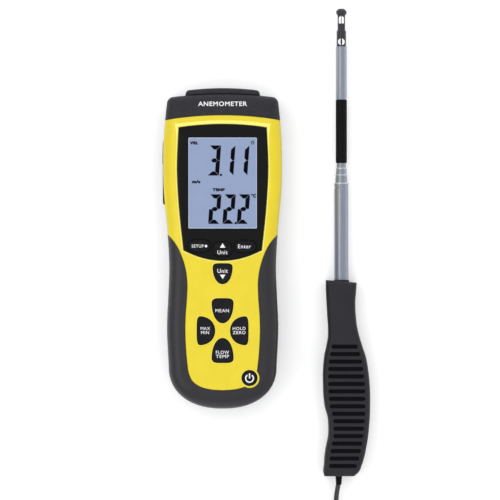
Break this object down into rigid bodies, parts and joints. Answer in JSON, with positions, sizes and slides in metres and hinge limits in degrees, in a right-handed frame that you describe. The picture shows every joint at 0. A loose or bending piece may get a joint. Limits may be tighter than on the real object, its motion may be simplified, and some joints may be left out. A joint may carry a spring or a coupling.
{
  "type": "hot-wire anemometer",
  "caption": "Hand-held hot-wire air speed meter with a display, keys and a rubber grip, beside its telescopic wand probe with a ribbed handle and cable.",
  "frame": {"origin": "on the meter's flat back, on its centreline, half way along its length", "axes": "+Z out of the display, +Y towards the sensor end of meter and probe, +X to the right of the meter seen from the front, towards the probe"},
  "size_m": [0.1368, 0.3772, 0.0447],
  "materials": {
    "yellow_abs": "satin yellow moulded plastic",
    "dark_abs": "dark grey moulded plastic, fine texture",
    "grip_rubber": "dark grey soft grip, satin",
    "nickel": "nickel plated",
    "black_plastic": "black plastic",
    "lens_black": "black printed acrylic window, polished",
    "lcd_glass": "blue-grey liquid crystal glass",
    "light_guide": "white light guide",
    "circuit_board": "green solder mask",
    "silicone": "grey silicone",
    "key_rubber": "black silicone key, matt, white legend",
    "battery_can": "printed steel can",
    "screw_steel": "zinc plated steel",
    "handle_rubber": "dark grey satin plastic",
    "chrome": "chromed brass tube, satin bright",
    "cable_rubber": "black cable sheath",
    "sensor_glass": "thin glass-coated sensing element"
  },
  "bodies": {
    "meter": {"front_shell": "yellow_abs", "rear_shell": "dark_abs", "top_cap": "dark_abs", "grip_bumper": "grip_rubber", "socket_housing": "dark_abs", "probe_socket": "nickel", "socket_insert": "black_plastic", "usb_socket": "nickel", "display_lens": "lens_black", "lcd_module": "lcd_glass", "lcd_backlight": "light_guide", "main_board": "circuit_board", "keypad_mat": "silicone", "battery_9v": "battery_can", "battery_snap": "black_plastic", "case_screw_1": "screw_steel", "case_screw_2": "screw_steel", "case_screw_3": "screw_steel", "case_screw_4": "screw_steel"},
    "side_flap": {"side_flap": "grip_rubber"},
    "battery_door": {"battery_door": "dark_abs", "door_screw": "screw_steel"},
    "probe": {"handle_front": "handle_rubber", "handle_rear": "handle_rubber", "handle_screw_1": "screw_steel", "handle_screw_2": "screw_steel", "handle_screw_3": "screw_steel", "probe_board": "circuit_board", "outer_tube": "chrome", "cable_grommet": "black_plastic", "probe_cable": "cable_rubber", "cable_coil": "cable_rubber", "plug_grip": "black_plastic", "plug_shell": "nickel"},
    "tube_c": {"tube_c": "chrome"},
    "tube_b": {"tube_b": "chrome"},
    "tube_a": {"tube_a": "chrome", "sleeve_grip": "black_plastic", "sensor_head": "black_plastic", "air_sensor": "sensor_glass", "temp_sensor": "black_plastic"},
    "guard_sleeve": {"guard_sleeve": "chrome"},
    "key_setup": {"key_setup": "key_rubber"},
    "key_up": {"key_up": "key_rubber"},
    "key_enter": {"key_enter": "key_rubber"},
    "key_down": {"key_down": "key_rubber"},
    "key_mean": {"key_mean": "key_rubber"},
    "key_max_min": {"key_max_min": "key_rubber"},
    "key_hold_zero": {"key_hold_zero": "key_rubber"},
    "key_flow_temp": {"key_flow_temp": "key_rubber"},
    "key_power": {"key_power": "key_rubber"}
  },
  "joints": [
    {"name": "key_setup_press", "type": "slide", "parent": "meter", "child": "key_setup", "axis": [0, 0, -1], "range_m": [0, 0.0008], "stiffness_N_per_m": 600, "springref_m": -0.0003},
    {"name": "key_up_press", "type": "slide", "parent": "meter", "child": "key_up", "axis": [0, 0, -1], "range_m": [0, 0.0008], "stiffness_N_per_m": 600, "springref_m": -0.0003},
    {"name": "key_enter_press", "type": "slide", "parent": "meter", "child": "key_enter", "axis": [0, 0, -1], "range_m": [0, 0.0008], "stiffness_N_per_m": 600, "springref_m": -0.0003},
    {"name": "key_down_press", "type": "slide", "parent": "meter", "child": "key_down", "axis": [0, 0, -1], "range_m": [0, 0.0008], "stiffness_N_per_m": 600, "springref_m": -0.0003},
    {"name": "key_mean_press", "type": "slide", "parent": "meter", "child": "key_mean", "axis": [0, 0, -1], "range_m": [0, 0.0008], "stiffness_N_per_m": 600, "springref_m": -0.0003},
    {"name": "key_max_min_press", "type": "slide", "parent": "meter", "child": "key_max_min", "axis": [0, 0, -1], "range_m": [0, 0.0008], "stiffness_N_per_m": 600, "springref_m": -0.0003},
    {"name": "key_hold_zero_press", "type": "slide", "parent": "meter", "child": "key_hold_zero", "axis": [0, 0, -1], "range_m": [0, 0.0008], "stiffness_N_per_m": 600, "springref_m": -0.0003},
    {"name": "key_flow_temp_press", "type": "slide", "parent": "meter", "child": "key_flow_temp", "axis": [0, 0, -1], "range_m": [0, 0.0008], "stiffness_N_per_m": 600, "springref_m": -0.0003},
    {"name": "key_power_press", "type": "slide", "parent": "meter", "child": "key_power", "axis": [0, 0, -1], "range_m": [0, 0.0008], "stiffness_N_per_m": 600, "springref_m": -0.0003},
    {"name": "side_flap_hinge", "type": "hinge", "parent": "meter", "child": "side_flap", "pos_m": [-0.0395, 0.0495, 0.0221], "axis": [0, -1, 0], "range_deg": [0, 95]},
    {"name": "battery_door_lift", "type": "slide", "parent": "meter", "child": "battery_door", "axis": [0, 0, -1], "range_m": [0, 0.02]},
    {"name": "probe_lift", "type": "slide", "parent": "meter", "child": "probe", "axis": [0, 0, 1], "range_m": [0, 0.25]},
    {"name": "tube_c_slide", "type": "slide", "parent": "probe", "child": "tube_c", "axis": [0, 1, 0], "range_m": [0, 0.14]},
    {"name": "tube_b_slide", "type": "slide", "parent": "tube_c", "child": "tube_b", "axis": [0, 1, 0], "range_m": [0, 0.14]},
    {"name": "tube_a_slide", "type": "slide", "parent": "tube_b", "child": "tube_a", "axis": [0, 1, 0], "range_m": [0, 0.14]},
    {"name": "guard_sleeve_slide", "type": "slide", "parent": "tube_a", "child": "guard_sleeve", "axis": [0, 1, 0], "range_m": [0, 0.02]}
  ]
}
